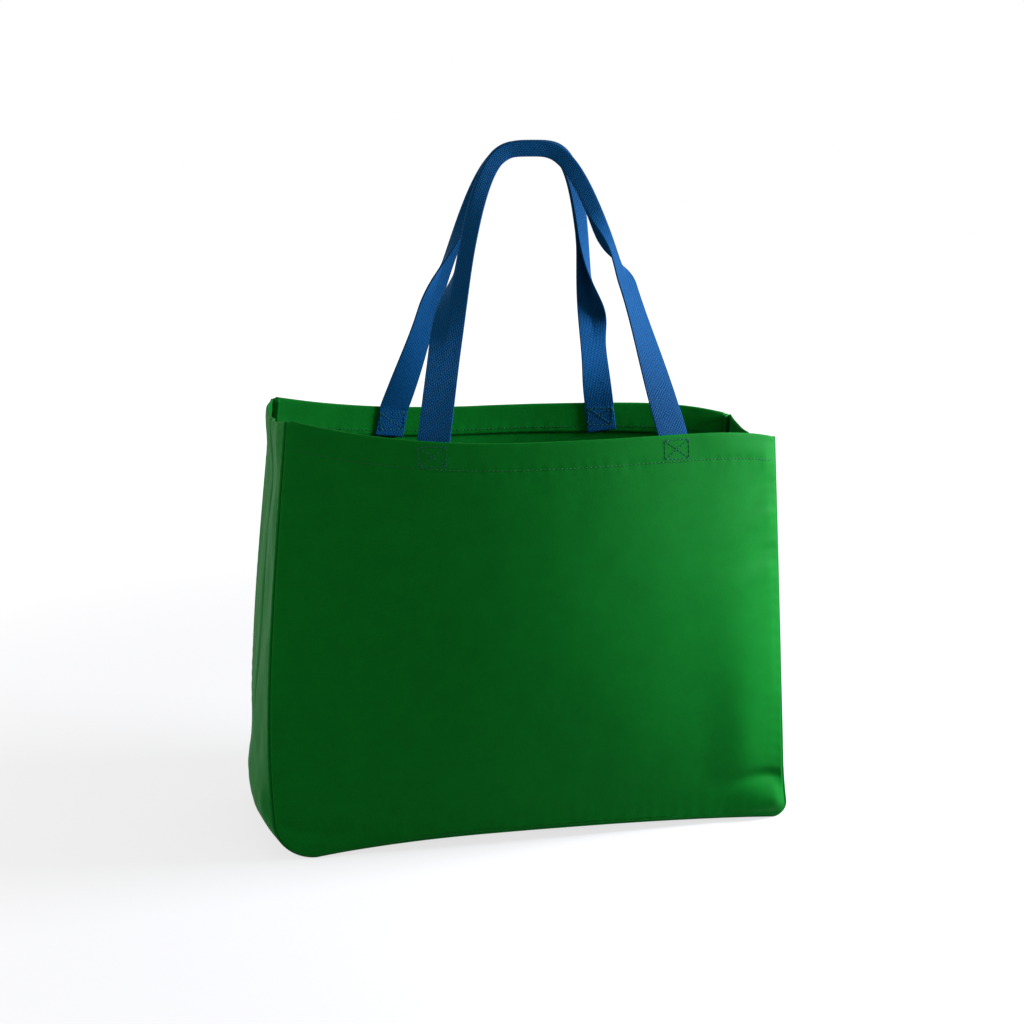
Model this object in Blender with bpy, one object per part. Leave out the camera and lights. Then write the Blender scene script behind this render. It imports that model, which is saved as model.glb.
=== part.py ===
"""A reusable carrier bag of green non-woven plastic cloth with two webbing handles.

The bag stands on its base, as it does when it is full. Units are metres, +Z is up and
the front faces -Y. The origin is on the floor, under the middle of the base.
"""
import math

import bmesh
import bpy
import numpy as np

# Outline of the standing bag
BASE_WIDTH = 0.420
RIM_WIDTH = 0.400
RIM_SHIFT = 0.002
BASE_DEPTH = 0.167
RIM_DEPTH = 0.114
BAG_HEIGHT = 0.330
LEFT_CORNER_RISE = 0.019
RIGHT_CORNER_DROP = 0.009
LEFT_CORNER_RADIUS = 0.034
RIGHT_CORNER_RADIUS = 0.012

# How far the filled cloth swells past its seams
BELLY_BULGE = 0.026
RIM_BULGE = 0.033
LEFT_BELLY = 0.013
RIGHT_BELLY = 0.001
FOOT_FLARE = 0.004
FOOT_HEIGHT = 0.050
GUSSET_BULGE = 0.009
GUSSET_SAG = 0.008
BASE_LIFT = 0.010

# Cloth, seams and hem
CLOTH = 0.0008
SEAM_GAP = 0.0004
SEAM_ALLOWANCE = 0.008
SEAM_TURN = 0.004
HEM_DEPTH = 0.026
HEM_FOLD = 0.0014

# Webbing handles
WEBBING_WIDTH = 0.0254
WEBBING_THICKNESS = 0.0015
FRONT_SPACING = 0.1938
BACK_SPACING = 0.1818
FRONT_SHIFT = 0.0104
BACK_SHIFT = -0.0012
FRONT_CROWN_SHIFT = 0.0063
BACK_CROWN_SHIFT = 0.0128
FRONT_CROWN_DEPTH = 0.0036
BACK_CROWN_DEPTH = 0.0120
HANDLE_RISE = 0.2280
HANDLE_END = 0.024
HANDLE_SPLAY = 0.18
SEWN_GAP = 0.0006
FOLD_BEND = 0.0016

# Thread boxes that hold the handle ends
STITCH_BOX_WIDTH = 0.0210
STITCH_BOX_HEIGHT = 0.0150
STITCH_BOX_DROP = 0.0105
THREAD = 0.0009

# Shares, powers and angles that shape the curves
LEFT_RIM_CURVE = 2.5
RIGHT_RIM_CURVE = 6
BELLY_LOW = 0.9
SIDE_LOW = 0.6
GUSSET_RISE_POWER = 0.5
GUSSET_FALL_POWER = 6
SAG_CURVE = 6
LIFT_PEAK = -0.25
FLAT_BASE_SHARE = 0.55
FRONT_ARCH = (3.33, 0.206, -0.045)
BACK_ARCH = (3.40, 0.398, -0.292)
CLOSED_ANGLE = math.radians(3)
SWELL_PEAK = GUSSET_RISE_POWER / (GUSSET_RISE_POWER + GUSSET_FALL_POWER)

# Where each leg's webbing folds in half, left leg then right: the shares of the arch's
# height at which the fold begins and is closed, and the turns below and inside it
FRONT_FOLDS = ((0.244, 0.947, -0.08, 0.0), (0.511, 0.806, 0.69, 0.0))
BACK_FOLDS = ((0.381, 0.950, 0.55, -0.87), (0.217, 0.697, -0.40, -0.87))

# Mesh density
SIDE_ROWS = 10
ARC_ROWS = 4
PANEL_COLUMNS = 18
GUSSET_COLUMNS = 7
ARCH_STEPS = 76
ARCH_SAMPLES = 400
SLOPE_STEP = 0.002

FRONT, BACK = -1, 1
LEFT, RIGHT = -1, 1


def rim_height(u):
    """Height of the rim above the floor at the share u of the width, -1 left to 1 right."""
    left_rise = LEFT_CORNER_RISE * np.abs(u) ** LEFT_RIM_CURVE
    right_rise = -RIGHT_CORNER_DROP * np.abs(u) ** RIGHT_RIM_CURVE
    return BAG_HEIGHT + np.where(u < 0, left_rise, right_rise)


def rim_share(x):
    """The share of the rim's half width at x, -1 at its left end and 1 at its right end."""
    return np.clip((x - RIM_SHIFT) * 2 / RIM_WIDTH, -1, 1)


def reach(side, z):
    """Distance of a side seam from the middle plane at height z."""
    share = np.clip(z / rim_height(side), 0, 1)
    belly = LEFT_BELLY if side == LEFT else RIGHT_BELLY
    straight = (BASE_WIDTH + (RIM_WIDTH - BASE_WIDTH) * share) / 2 + side * RIM_SHIFT * share
    flare = FOOT_FLARE * np.clip(1 - z / FOOT_HEIGHT, 0, 1) ** 2
    return straight + belly * np.sin(math.pi * share ** SIDE_LOW) + flare


def depth(x, z):
    """Distance of the front or back panel from the middle plane at a point of its face."""
    u = np.clip(x / np.where(x < 0, reach(LEFT, z), reach(RIGHT, z)), -1, 1)
    share = np.clip(z / rim_height(rim_share(x)), 0, 1.1)
    corner = (BASE_DEPTH + (RIM_DEPTH - BASE_DEPTH) * share) / 2
    bulge = RIM_BULGE * share + BELLY_BULGE * np.sin(math.pi * share ** BELLY_LOW)
    return corner + bulge * (1 - u * u)


def panel_point(x, z, face):
    """Points on the middle of a panel's cloth, from its width and height."""
    return np.stack([x, face * depth(x, z), z + CLOTH / 2], axis=-1)


def panel_inward(x, z, face):
    """Unit normals of a panel that point into the bag."""
    slope_x = (depth(x + SLOPE_STEP, z) - depth(x - SLOPE_STEP, z)) / (2 * SLOPE_STEP)
    slope_z = (depth(x, z + SLOPE_STEP) - depth(x, z - SLOPE_STEP)) / (2 * SLOPE_STEP)
    normal = np.stack([slope_x, -face * np.ones_like(slope_x), slope_z], axis=-1)
    return unit(normal)


def unit(vectors):
    """The same vectors, one unit long."""
    return vectors / np.linalg.norm(vectors, axis=-1, keepdims=True)


def side_outline(side, inset):
    """A side seam from rim to base with its round lower corner, moved in by inset."""
    top = float(rim_height(side))
    low = LEFT_CORNER_RADIUS if side == LEFT else RIGHT_CORNER_RADIUS
    drop = np.linspace(top - HEM_DEPTH, low, SIDE_ROWS)
    heights = np.concatenate([[top], drop])
    straight = np.stack([side * (reach(side, heights) - inset), heights], axis=1)
    angles = np.linspace(0, math.pi / 2, ARC_ROWS + 1)[1:]
    radius = low - inset
    centre = reach(side, low) - low
    arc_x = side * (centre + radius * np.cos(angles))
    arc_z = low - radius * np.sin(angles)
    return np.concatenate([straight, np.stack([arc_x, arc_z], axis=1)])


def bottom_lift(u):
    """How far the long base seam stands off the floor between its two corners."""
    from_peak = np.where(u < LIFT_PEAK, (LIFT_PEAK - u) / (1 + LIFT_PEAK), (u - LIFT_PEAK) / (1 - LIFT_PEAK))
    return BASE_LIFT * (1 - from_peak ** 2)


def seam_outline():
    """A panel's seam, down the left side, along the base and up the right.

    Each row holds the width, the height and how far the base seam is lifted there.
    """
    left = side_outline(LEFT, 0)
    right = side_outline(RIGHT, 0)
    share = np.linspace(0, 1, PANEL_COLUMNS + 1)[1:-1]
    bottom = left[-1] + share[:, None] * (right[-1] - left[-1])
    lift = bottom_lift(2 * share - 1)
    bottom[:, 1] += lift
    outline = np.concatenate([left, bottom, right[::-1]])
    lifts = np.concatenate([np.zeros(len(left)), lift, np.zeros(len(right))])
    return np.column_stack([outline, lifts])


def panel_grid():
    """Rows of width and height over a panel, from the rim row to the base row."""
    left = side_outline(LEFT, SEAM_TURN)
    right = side_outline(RIGHT, SEAM_TURN)
    u = np.linspace(-1, 1, PANEL_COLUMNS + 1)
    share = (u + 1) / 2
    rows = left[:, None, :] + share[None, :, None] * (right - left)[:, None, :]
    chord = left[0, 1] + share * (right[0, 1] - left[0, 1])
    rim_bow = rim_height(u) - chord
    height = np.clip(left[:, 1] / left[0, 1], 0, 1)
    rows[:, :, 1] += height[:, None] * rim_bow + (1 - height[:, None]) * bottom_lift(u)
    rows[-1, :, 1] = SEAM_TURN + bottom_lift(u)
    return rows


def seam_frames(face):
    """Seam points with the directions of both cloths and of the turned-in allowance."""
    flat = seam_outline()
    seam = panel_point(flat[:, 0], flat[:, 1], face)
    along = unit(np.gradient(seam, axis=0))
    inward = panel_inward(flat[:, 0] * (1 - 2 * SLOPE_STEP / BASE_WIDTH), flat[:, 1] + SLOPE_STEP, face)
    into_panel = unit(np.cross(inward, along))
    middle = np.array([0, face * BASE_DEPTH / 2, BAG_HEIGHT / 2])
    into_panel *= np.sign(np.sum(into_panel * (middle - seam), axis=1))[:, None]
    into_gusset = gusset_point(flat, face * gusset_share(flat)) - seam
    into_gusset -= along * np.sum(into_gusset * along, axis=1)[:, None]
    into_gusset = unit(into_gusset)
    tongue = unit(into_panel + into_gusset)
    return seam, into_panel, into_gusset, tongue


def gusset_share(flat):
    """The share of the gusset's half width at which its turned edge begins."""
    return 1 - SEAM_TURN / depth(flat[:, 0], flat[:, 1])


def swell_share(height):
    """A hump low on the gusset: it rises fast from the floor and dies out upwards."""
    return height ** GUSSET_RISE_POWER * (1 - height) ** GUSSET_FALL_POWER


def gusset_point(flat, v):
    """Points on the gusset band, v from -1 at the front seam to 1 at the back seam."""
    x, z, lift = flat.T
    side = np.sign(x)
    height = np.clip((z - lift) / rim_height(side), 0, 1)
    swell = GUSSET_BULGE * swell_share(height) / swell_share(SWELL_PEAK) * (1 - v * v)
    sag = GUSSET_SAG * height ** SAG_CURVE * (1 - v * v)
    ramp = np.clip((np.abs(v) - FLAT_BASE_SHARE) / (1 - FLAT_BASE_SHARE), 0, 1) ** 2
    out_z = z - sag - lift * (1 - ramp)
    return np.stack([x + side * swell, v * depth(x, z), out_z + CLOTH / 2], axis=-1)


def allowance_rows(seam, own, tongue):
    """Three rows that turn a cloth's edge inward: the bend, the fold and the raw edge."""
    lean = unit(own - tongue * np.sum(own * tongue, axis=1)[:, None])
    half = (CLOTH + SEAM_GAP) / 2
    start = seam + own * SEAM_TURN
    control = seam + lean * half
    fold = control + tongue * SEAM_TURN
    bend = (start + 2 * control + fold) / 4
    raw_edge = control + tongue * SEAM_ALLOWANCE
    return bend, fold, raw_edge


class Sheet:
    """A sheet of cloth made of rows of points joined by four-sided faces."""

    def __init__(self):
        self.points = []
        self.faces = []

    def row(self, points):
        first = len(self.points)
        self.points.extend(map(tuple, points))
        return list(range(first, len(self.points)))

    def join(self, upper, lower):
        for a, b, c, d in zip(upper, upper[1:], lower[1:], lower):
            self.faces.append((a, b, c, d))


def add_hem(sheet, rim_row, rim, line, rim_inward, line_inward, upward):
    """Fold a cloth's top edge over and carry it down inside, behind its own face."""
    crest = rim + rim_inward * HEM_FOLD / 2 + upward * HEM_FOLD / 2
    crest_row = sheet.row(crest)
    inner_rim_row = sheet.row(rim + rim_inward * HEM_FOLD)
    inner_line_row = sheet.row(line + line_inward * HEM_FOLD)
    sheet.join(rim_row, crest_row)
    sheet.join(crest_row, inner_rim_row)
    sheet.join(inner_rim_row, inner_line_row)


def build_panel(face):
    """Front or back panel with its allowances and hem."""
    sheet = Sheet()
    grid = panel_grid()
    points = panel_point(grid[..., 0], grid[..., 1], face)
    rows = [sheet.row(line) for line in points]
    for upper, lower in zip(rows, rows[1:]):
        sheet.join(upper, lower)
    left_edge = [row[0] for row in rows]
    right_edge = [row[-1] for row in rows]
    edge = left_edge + rows[-1][1:-1] + right_edge[::-1]
    seam, into_panel, _, tongue = seam_frames(face)
    bend, fold, raw_edge = map(sheet.row, allowance_rows(seam, into_panel, tongue))
    sheet.join(edge, bend)
    sheet.join(bend, fold)
    sheet.join(fold, raw_edge)
    inward = panel_inward(grid[:2, :, 0], grid[:2, :, 1], face)
    upward = unit(points[0] - points[1])
    add_hem(sheet, rows[0], points[0], points[1], inward[0], inward[1], upward)
    return sheet


def build_gusset():
    """The band that makes both sides and the base, with its allowances and two hems."""
    sheet = Sheet()
    flat = seam_outline()
    width = gusset_share(flat)
    columns = [gusset_point(flat, v * width) for v in np.linspace(-1, 1, GUSSET_COLUMNS + 1)]
    rows = [sheet.row(column) for column in columns]
    for upper, lower in zip(rows, rows[1:]):
        sheet.join(upper, lower)
    for face, edge in ((FRONT, rows[0]), (BACK, rows[-1])):
        seam, _, into_gusset, tongue = seam_frames(face)
        bend, fold, raw_edge = map(sheet.row, allowance_rows(seam, into_gusset, tongue))
        sheet.join(edge, bend)
        sheet.join(bend, fold)
        sheet.join(fold, raw_edge)
    across = np.array(columns)
    for side, end, below in ((LEFT, 0, 1), (RIGHT, -1, -2)):
        rim, line = across[:, end], across[:, below]
        upward = unit(rim - line)
        inward = unit(np.cross(np.gradient(rim, axis=0), upward))
        inward *= -side * np.sign(inward[:, :1])
        rim_row = [row[end] for row in rows]
        add_hem(sheet, rim_row, rim, line, inward, inward, upward)
    return sheet


def handle_foot(face, side):
    """Width and height at which the middle of a handle's leg crosses the rim."""
    spacing, shift = (FRONT_SPACING, FRONT_SHIFT) if face == FRONT else (BACK_SPACING, BACK_SHIFT)
    x = shift + side * spacing / 2
    return x, float(rim_height(rim_share(x)))


def behind_hem(x, z, face):
    """Middle of the webbing where it lies flat against the inside of the hem."""
    back_off = CLOTH / 2 + HEM_FOLD + SEWN_GAP + WEBBING_THICKNESS / 2
    return panel_point(x, z, face) + panel_inward(x, z, face) * back_off


def arch_line(w, face):
    """Heights as shares and points of a handle's fold line, w from -1 left to 1 right."""
    feet = np.array([handle_foot(face, side) for side in (LEFT, RIGHT)])
    sewn_feet = behind_hem(feet[:, 0], feet[:, 1], face)
    foot_y, foot_z = (np.where(w < 0, *sewn_feet[:, axis]) for axis in (1, 2))
    crown_x = FRONT_CROWN_SHIFT if face == FRONT else BACK_CROWN_SHIFT
    crown_y = -FRONT_CROWN_DEPTH if face == FRONT else BACK_CROWN_DEPTH
    power, narrow, narrow_square = FRONT_ARCH if face == FRONT else BACK_ARCH
    height = 1 - np.abs(w) ** power
    half = (feet[1, 0] - feet[0, 0]) / 2
    taper = 1 - narrow * height - narrow_square * height ** 2
    x = feet[:, 0].mean() * (1 - height) + crown_x * height + half * w * taper
    y = foot_y + (crown_y - foot_y) * height
    z = foot_z + (BAG_HEIGHT + HANDLE_RISE - foot_z) * height
    return height, np.stack([x, y, z], axis=1)


def even_steps(face):
    """Places along a handle's arch that lie the same length of webbing apart."""
    w = np.linspace(-1, 1, ARCH_SAMPLES + 1)
    steps = np.linalg.norm(np.diff(arch_line(w, face)[1], axis=0), axis=1)
    run = np.concatenate([[0], steps.cumsum()])
    return np.interp(np.linspace(0, run[-1], ARCH_STEPS + 1), run, w)


def smooth(share):
    """A share from 0 to 1 with soft ends."""
    share = np.clip(share, 0, 1)
    return share * share * (3 - 2 * share)


def handle_fold(w, height, face):
    """How wide the two halves of the webbing stand open and how far they turn at w.

    The webbing is flat, and so open by half a turn, at its feet. Higher up it is folded
    in half lengthwise, with the fold line at the top and on the outside of the arch.
    """
    folds = FRONT_FOLDS if face == FRONT else BACK_FOLDS
    begin, end, leg_turn, lean = np.where(w[:, None] < 0, *folds).T
    closed = smooth((height - begin) / (end - begin))
    opening = math.pi + (CLOSED_ANGLE - math.pi) * closed
    below_fold = leg_turn * smooth(height / begin) * (1 - closed)
    inside_fold = (opening / 2 + 2 * lean * (1 - height)) * closed
    return opening, below_fold + inside_fold


def handle_frames(face):
    """Fold line of one handle with its ends, its outward and inward directions and its fold."""
    w = even_steps(face)
    height, arch = arch_line(w, face)
    below = np.array([1.0, 0.5, 0.1]) * HANDLE_END
    ends = []
    for side in (LEFT, RIGHT):
        rim_x, rim_z = handle_foot(face, side)
        ends.append(behind_hem(rim_x + side * HANDLE_SPLAY * below, rim_z - below, face))
    path = np.concatenate([ends[0], arch, ends[1][::-1]])
    opening, turn = handle_fold(w, height, face)
    opening = np.pad(opening, len(below), constant_values=math.pi)
    turn = np.pad(turn, len(below))
    along = unit(np.gradient(path, axis=0))
    foot = panel_inward(path[:, 0], np.minimum(path[:, 2], BAG_HEIGHT), face)
    blend = np.clip((path[:, 2:] - BAG_HEIGHT) / HANDLE_RISE, 0, 1)
    inward = foot * (1 - blend) + np.array([0, -face, 0]) * blend
    inward = unit(inward - along * np.sum(inward * along, axis=1)[:, None])
    outer = np.cross(inward, along) * face
    return path, outer, inward, opening, turn


def handle_section(face, across):
    """Middle of the webbing and its face direction, at distances across from the fold line.

    Within FOLD_BEND of the fold line the webbing follows an arc, beyond it a straight line.
    """
    path, outer, inward, opening, turn = handle_frames(face)
    curve = (math.pi - opening)[:, None] / (2 * FOLD_BEND)
    in_arc = np.clip(across, -FOLD_BEND, FOLD_BEND)
    angle = (opening / 2 - math.pi / 2 - turn)[:, None] + curve * in_arc
    chord_angle = angle - curve * in_arc / 2
    chord = in_arc * np.sinc(curve * in_arc / (2 * math.pi))
    beyond = across - in_arc
    to_centre = chord * np.cos(chord_angle) + beyond * np.cos(angle)
    to_inside = chord * np.sin(chord_angle) + beyond * np.sin(angle)
    outer, inward = outer[:, None], inward[:, None]
    middle = path[:, None] - to_centre[..., None] * outer + to_inside[..., None] * inward
    face_way = np.sin(angle)[..., None] * outer + np.cos(angle)[..., None] * inward
    return middle, face_way


def build_handle(face):
    """One strip of webbing, folded over the top and sewn inside its panel at both ends."""
    half_width = WEBBING_WIDTH / 2
    bend = FOLD_BEND * np.array([-1, -1 / 3, 1 / 3, 1])
    across = np.concatenate([[-half_width], bend, [half_width]])
    middle, face_way = handle_section(face, across)
    half_t = face_way * WEBBING_THICKNESS / 2
    rings = np.concatenate([middle + half_t, (middle - half_t)[:, ::-1]], axis=1)
    sheet = Sheet()
    rows = [sheet.row(ring) for ring in rings]
    for upper, lower in zip(rows, rows[1:]):
        sheet.join(upper + upper[:1], lower + lower[:1])
    for row in (rows[0], rows[-1]):
        sheet.join(row[:len(across)], row[len(across):][::-1])
    return sheet


def build_stitch_box(face, side):
    """A rectangle of thread with a cross in it, on the outside of a handle's end."""
    half_x, half_z = STITCH_BOX_WIDTH / 2, STITCH_BOX_HEIGHT / 2
    corners = np.array([(-half_x, -half_z), (half_x, -half_z), (half_x, half_z), (-half_x, half_z)])
    sheet = Sheet()
    flat = []
    outer = [len(flat) + k for k in range(4)]
    flat.extend(corners)
    first, second, tip = [], [], []
    for k in range(4):
        a, b = corners[k], corners[(k + 1) % 4]
        along = (b - a) / np.linalg.norm(b - a)
        inward = -(a + b) / np.linalg.norm(a + b)
        rise = np.linalg.norm(a + b) / 2
        run = np.linalg.norm(b - a) / 2
        slope = math.hypot(rise, run) / rise
        start = THREAD / 2 * slope + THREAD * run / rise
        first.append(len(flat))
        flat.append(a + along * start + inward * THREAD)
        second.append(len(flat))
        flat.append(b - along * start + inward * THREAD)
        tip.append(len(flat))
        flat.append(-inward * THREAD * math.hypot(rise, run) / run / 2)
    for k in range(4):
        n = (k + 1) % 4
        sheet.faces.append((outer[k], outer[n], second[k], first[k]))
        sheet.faces.append((outer[n], first[n], second[k]))
        sheet.faces.append((second[k], first[n], tip[n], tip[k]))
    sheet.faces.append(tuple(tip))
    flat = np.array(flat)
    rim_x, rim_z = handle_foot(face, side)
    centre = np.array([rim_x + side * HANDLE_SPLAY * STITCH_BOX_DROP, rim_z - STITCH_BOX_DROP])
    inward = panel_inward(*centre, face)
    across = unit(np.cross(inward, np.array([0, 0, 1.0])))
    upward = np.cross(across, inward)
    lift = CLOTH / 2 + SEWN_GAP + THREAD / 4
    middle = panel_point(*centre, face) - inward * lift
    points = middle + flat[:, :1] * across + flat[:, 1:] * upward
    sheet.row(points)
    return sheet


def material(name, colour, roughness):
    """A plain Principled material."""
    made = bpy.data.materials.new(name)
    made.use_nodes = True
    shader = made.node_tree.nodes["Principled BSDF"]
    shader.inputs["Base Color"].default_value = (*colour, 1)
    shader.inputs["Roughness"].default_value = roughness
    shader.inputs["Metallic"].default_value = 0
    return made


def add_object(name, sheet, finish, thickness=None):
    """One named object from a sheet, thickened where it is cloth or thread."""
    mesh = bpy.data.meshes.new(name)
    mesh.from_pydata(sheet.points, [], sheet.faces)
    work = bmesh.new()
    work.from_mesh(mesh)
    bmesh.ops.recalc_face_normals(work, faces=work.faces)
    work.to_mesh(mesh)
    work.free()
    mesh.materials.append(finish)
    mesh.shade_smooth()
    mesh.set_sharp_from_angle(angle=math.radians(40))
    piece = bpy.data.objects.new(name, mesh)
    bpy.context.scene.collection.objects.link(piece)
    if thickness:
        solid = piece.modifiers.new("thickness", "SOLIDIFY")
        solid.thickness = thickness
        solid.offset = 0
        solid.use_rim = True
    return piece


for old in list(bpy.data.objects):
    bpy.data.objects.remove(old, do_unlink=True)

panel_green = material("panel_green", (0.000, 0.155, 0.030), 0.62)
gusset_green = material("gusset_green", (0.000, 0.145, 0.030), 0.62)
webbing_blue = material("webbing_blue", (0.004, 0.055, 0.250), 0.70)
thread_blue = material("thread_blue", (0.006, 0.075, 0.200), 0.55)

for face, place in ((FRONT, "front"), (BACK, "back")):
    add_object(f"{place}_panel", build_panel(face), panel_green, CLOTH)
    add_object(f"{place}_handle", build_handle(face), webbing_blue)
    for side, hand in ((LEFT, "left"), (RIGHT, "right")):
        box = build_stitch_box(face, side)
        add_object(f"stitch_box_{place}_{hand}", box, thread_blue, THREAD / 2)
add_object("gusset_band", build_gusset(), gusset_green, CLOTH)
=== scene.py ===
import math

import bpy
import bmesh
import numpy as np
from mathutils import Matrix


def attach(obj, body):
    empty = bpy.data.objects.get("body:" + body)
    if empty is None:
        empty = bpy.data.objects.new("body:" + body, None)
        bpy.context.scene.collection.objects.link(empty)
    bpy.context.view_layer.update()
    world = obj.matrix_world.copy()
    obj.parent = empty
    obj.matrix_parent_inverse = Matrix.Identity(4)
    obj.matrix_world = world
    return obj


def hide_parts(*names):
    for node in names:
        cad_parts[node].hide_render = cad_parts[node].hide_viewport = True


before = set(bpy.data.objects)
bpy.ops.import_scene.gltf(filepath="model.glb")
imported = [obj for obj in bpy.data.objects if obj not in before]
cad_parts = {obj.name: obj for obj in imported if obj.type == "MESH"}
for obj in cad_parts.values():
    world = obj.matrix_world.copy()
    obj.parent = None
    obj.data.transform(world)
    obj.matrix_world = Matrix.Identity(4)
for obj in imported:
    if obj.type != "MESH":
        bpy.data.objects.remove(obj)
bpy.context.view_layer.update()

# Front and back panels
# Each panel is one sheet of green non-woven polypropylene cloth, cut with round lower corners.
# Its edges are turned in and sewn to the gusset, and its top is folded over inside as a hem.
BASE_WIDTH, RIM_WIDTH, RIM_SHIFT = 0.420, 0.400, 0.002
BASE_DEPTH, RIM_DEPTH = 0.167, 0.114
BAG_HEIGHT = 0.330
LEFT_CORNER_RISE, RIGHT_CORNER_DROP = 0.019, 0.009
LEFT_CORNER_RADIUS, RIGHT_CORNER_RADIUS = 0.034, 0.012
BELLY_BULGE, RIM_BULGE = 0.026, 0.033
LEFT_BELLY, RIGHT_BELLY = 0.013, 0.001
FOOT_FLARE, FOOT_HEIGHT = 0.004, 0.050
GUSSET_BULGE, GUSSET_SAG, BASE_LIFT = 0.009, 0.008, 0.010
CLOTH, SEAM_GAP = 0.0007, 0.0004
SEAM_ALLOWANCE, SEAM_TURN = 0.008, 0.004
HEM_DEPTH, HEM_FOLD, HEM_STITCH_DROP = 0.026, 0.0014, 0.020
LEFT_RIM_CURVE, RIGHT_RIM_CURVE = 2.5, 6
BELLY_LOW, SIDE_LOW = 0.9, 0.6
GUSSET_RISE_POWER, GUSSET_FALL_POWER, SAG_CURVE = 0.5, 6, 6
SWELL_PEAK = GUSSET_RISE_POWER / (GUSSET_RISE_POWER + GUSSET_FALL_POWER)
LIFT_PEAK, FLAT_BASE_SHARE = -0.25, 0.55
HEM_ROWS, CREST_ROWS, SIDE_ROWS, ARC_ROWS, BEND_ROWS = 12, 6, 118, 18, 5
PANEL_COLUMNS, GUSSET_COLUMNS = 176, 56
SLOPE_STEP, ABOVE_RIM = 0.002, 1.1
FRONT, BACK, LEFT, RIGHT = -1, 1, -1, 1
PANEL_GREEN = (0.002, 0.190, 0.015)
DIMPLE_PITCH = 0.0015

# Where the legs of the front and back handles cross the rim: their spacing, and its middle
HANDLE_LEGS = {FRONT: (0.1938, 0.0104), BACK: (0.1818, -0.0012)}

# Soft pulls and dents: x and z of both ends, half width, and height, which is minus for a valley
FRONT_FOLDS = (
    (0.205, 0.262, 0.150, 0.236, 0.0065, 0.0011),
    (0.206, 0.232, 0.158, 0.214, 0.0050, -0.0009),
    (0.207, 0.214, 0.140, 0.196, 0.0080, 0.0010),
    (0.205, 0.290, 0.165, 0.268, 0.0060, -0.0007),
    (0.203, 0.300, 0.120, 0.330, 0.0100, 0.0010),
    (0.214, 0.037, 0.140, 0.035, 0.0050, -0.0030),
    (0.218, 0.016, 0.160, 0.014, 0.0110, 0.0065),
    (0.169, 0.042, 0.160, 0.330, 0.0290, 0.0039),
    (-0.214, 0.030, -0.150, 0.018, 0.0050, -0.0012),
    (-0.206, 0.045, -0.140, 0.032, 0.0080, 0.0010),
    (-0.212, 0.090, -0.188, 0.180, 0.0070, -0.0007),
    (-0.199, 0.330, -0.140, 0.290, 0.0110, 0.0010),
)
BACK_FOLDS = (
    (-0.200, 0.300, -0.130, 0.262, 0.0080, 0.0012),
    (-0.206, 0.245, -0.150, 0.232, 0.0060, -0.0010),
    (0.204, 0.270, 0.140, 0.232, 0.0080, 0.0012),
    (0.206, 0.190, 0.160, 0.185, 0.0060, -0.0009),
    (0.214, 0.040, 0.130, 0.036, 0.0045, -0.0018),
    (-0.214, 0.044, -0.120, 0.034, 0.0050, -0.0015),
    (-0.205, 0.024, -0.130, 0.020, 0.0090, 0.0015),
)

# Shares of a fold's length at which it begins, is full, starts to fade and ends
FOLD_BEGIN, FOLD_FULL, FOLD_FADE, FOLD_END = -0.15, 0.10, 0.25, 1.15
FOLD_WAVER, FOLD_WAVES, FOLD_START_WIDTH = 0.0025, 4, 0.7

# Unevenness: number of waves, and the spread of their lengths
WAVES, WAVE_SPREAD = 12, (0.7, 1.6)
DENT, DENT_SIZE, SMALL_DENT, SMALL_DENT_SIZE = 0.0005, 0.13, 0.00010, 0.040
DENT_SEEDS = {FRONT: 3, BACK: 8}
SIDE_FADE, BASE_FADE, CORNER_FADE, HEM_END_FADE = 0.013, 0.010, 0.02, 0.010

# Puckers beside a seam: height, wave length over a full turn, and reach from the seam
SIDE_PUCKERS, BASE_PUCKERS = (0.00028, 0.0017, 0.011), (0.00035, 0.0018, 0.010)
PUCKER_WAVER, PUCKER_WAVER_SIZE, PUCKER_START = 1.6, 0.05, 0.005

# Along the hem's stitches: a dip with puckers in it, and the groove of the thread
HEM_PUCKER, HEM_PUCKER_WAVE, HEM_WAVER, HEM_WAVER_SIZE = 0.00011, 0.00155, 1.4, 0.06
HEM_DIP, HEM_DIP_WIDTH, STITCH_GROOVE, GROOVE_WIDTH = 0.00012, 0.0055, 0.00022, 0.0016

# The cloth is calm at the handles' feet: half width, height below the rim, and fade under it
CALM_WIDTH, CALM_HEIGHT, CALM_FADE = 0.024, 0.030, 0.02


def unit(vectors):
    """The same vectors, each divided by its length."""
    return vectors / np.linalg.norm(vectors, axis=-1, keepdims=True)


def smooth(value):
    """Zero below 0 and one above 1, with a curve of 3t squared minus 2t cubed between."""
    share = np.clip(value, 0, 1)
    return share * share * (3 - 2 * share)


def uneven(a, b, size, seed):
    """Smooth unevenness between about -1 and 1: a quarter of the sum of a dozen plane waves,
    each of its own length and direction."""
    draw = np.random.default_rng(seed)
    angle, phase = draw.uniform(0, math.tau, (2, WAVES))
    wave_number = math.tau / (size * draw.uniform(*WAVE_SPREAD, WAVES))
    along = a[..., None] * np.cos(angle) + b[..., None] * np.sin(angle)
    return np.sin(along * wave_number + phase).sum(axis=-1) / 4


def rim_height(u):
    """Height of the rim at the share u of its half width: the middle height, with a power of u
    added to the left and another taken off to the right."""
    left_rise = LEFT_CORNER_RISE * np.abs(u) ** LEFT_RIM_CURVE
    right_rise = -RIGHT_CORNER_DROP * np.abs(u) ** RIGHT_RIM_CURVE
    return BAG_HEIGHT + np.where(u < 0, left_rise, right_rise)


def rim_share(x):
    """The share of the rim's half width at x, -1 at its left end and 1 at its right end."""
    return np.clip((x - RIM_SHIFT) * 2 / RIM_WIDTH, -1, 1)


def handle_foot(face, side):
    """Width and height of the middle of a handle's leg at the rim, half the spacing to its side."""
    spacing, middle = HANDLE_LEGS[face]
    x = middle + side * spacing / 2
    return x, float(rim_height(rim_share(x)))


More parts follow.
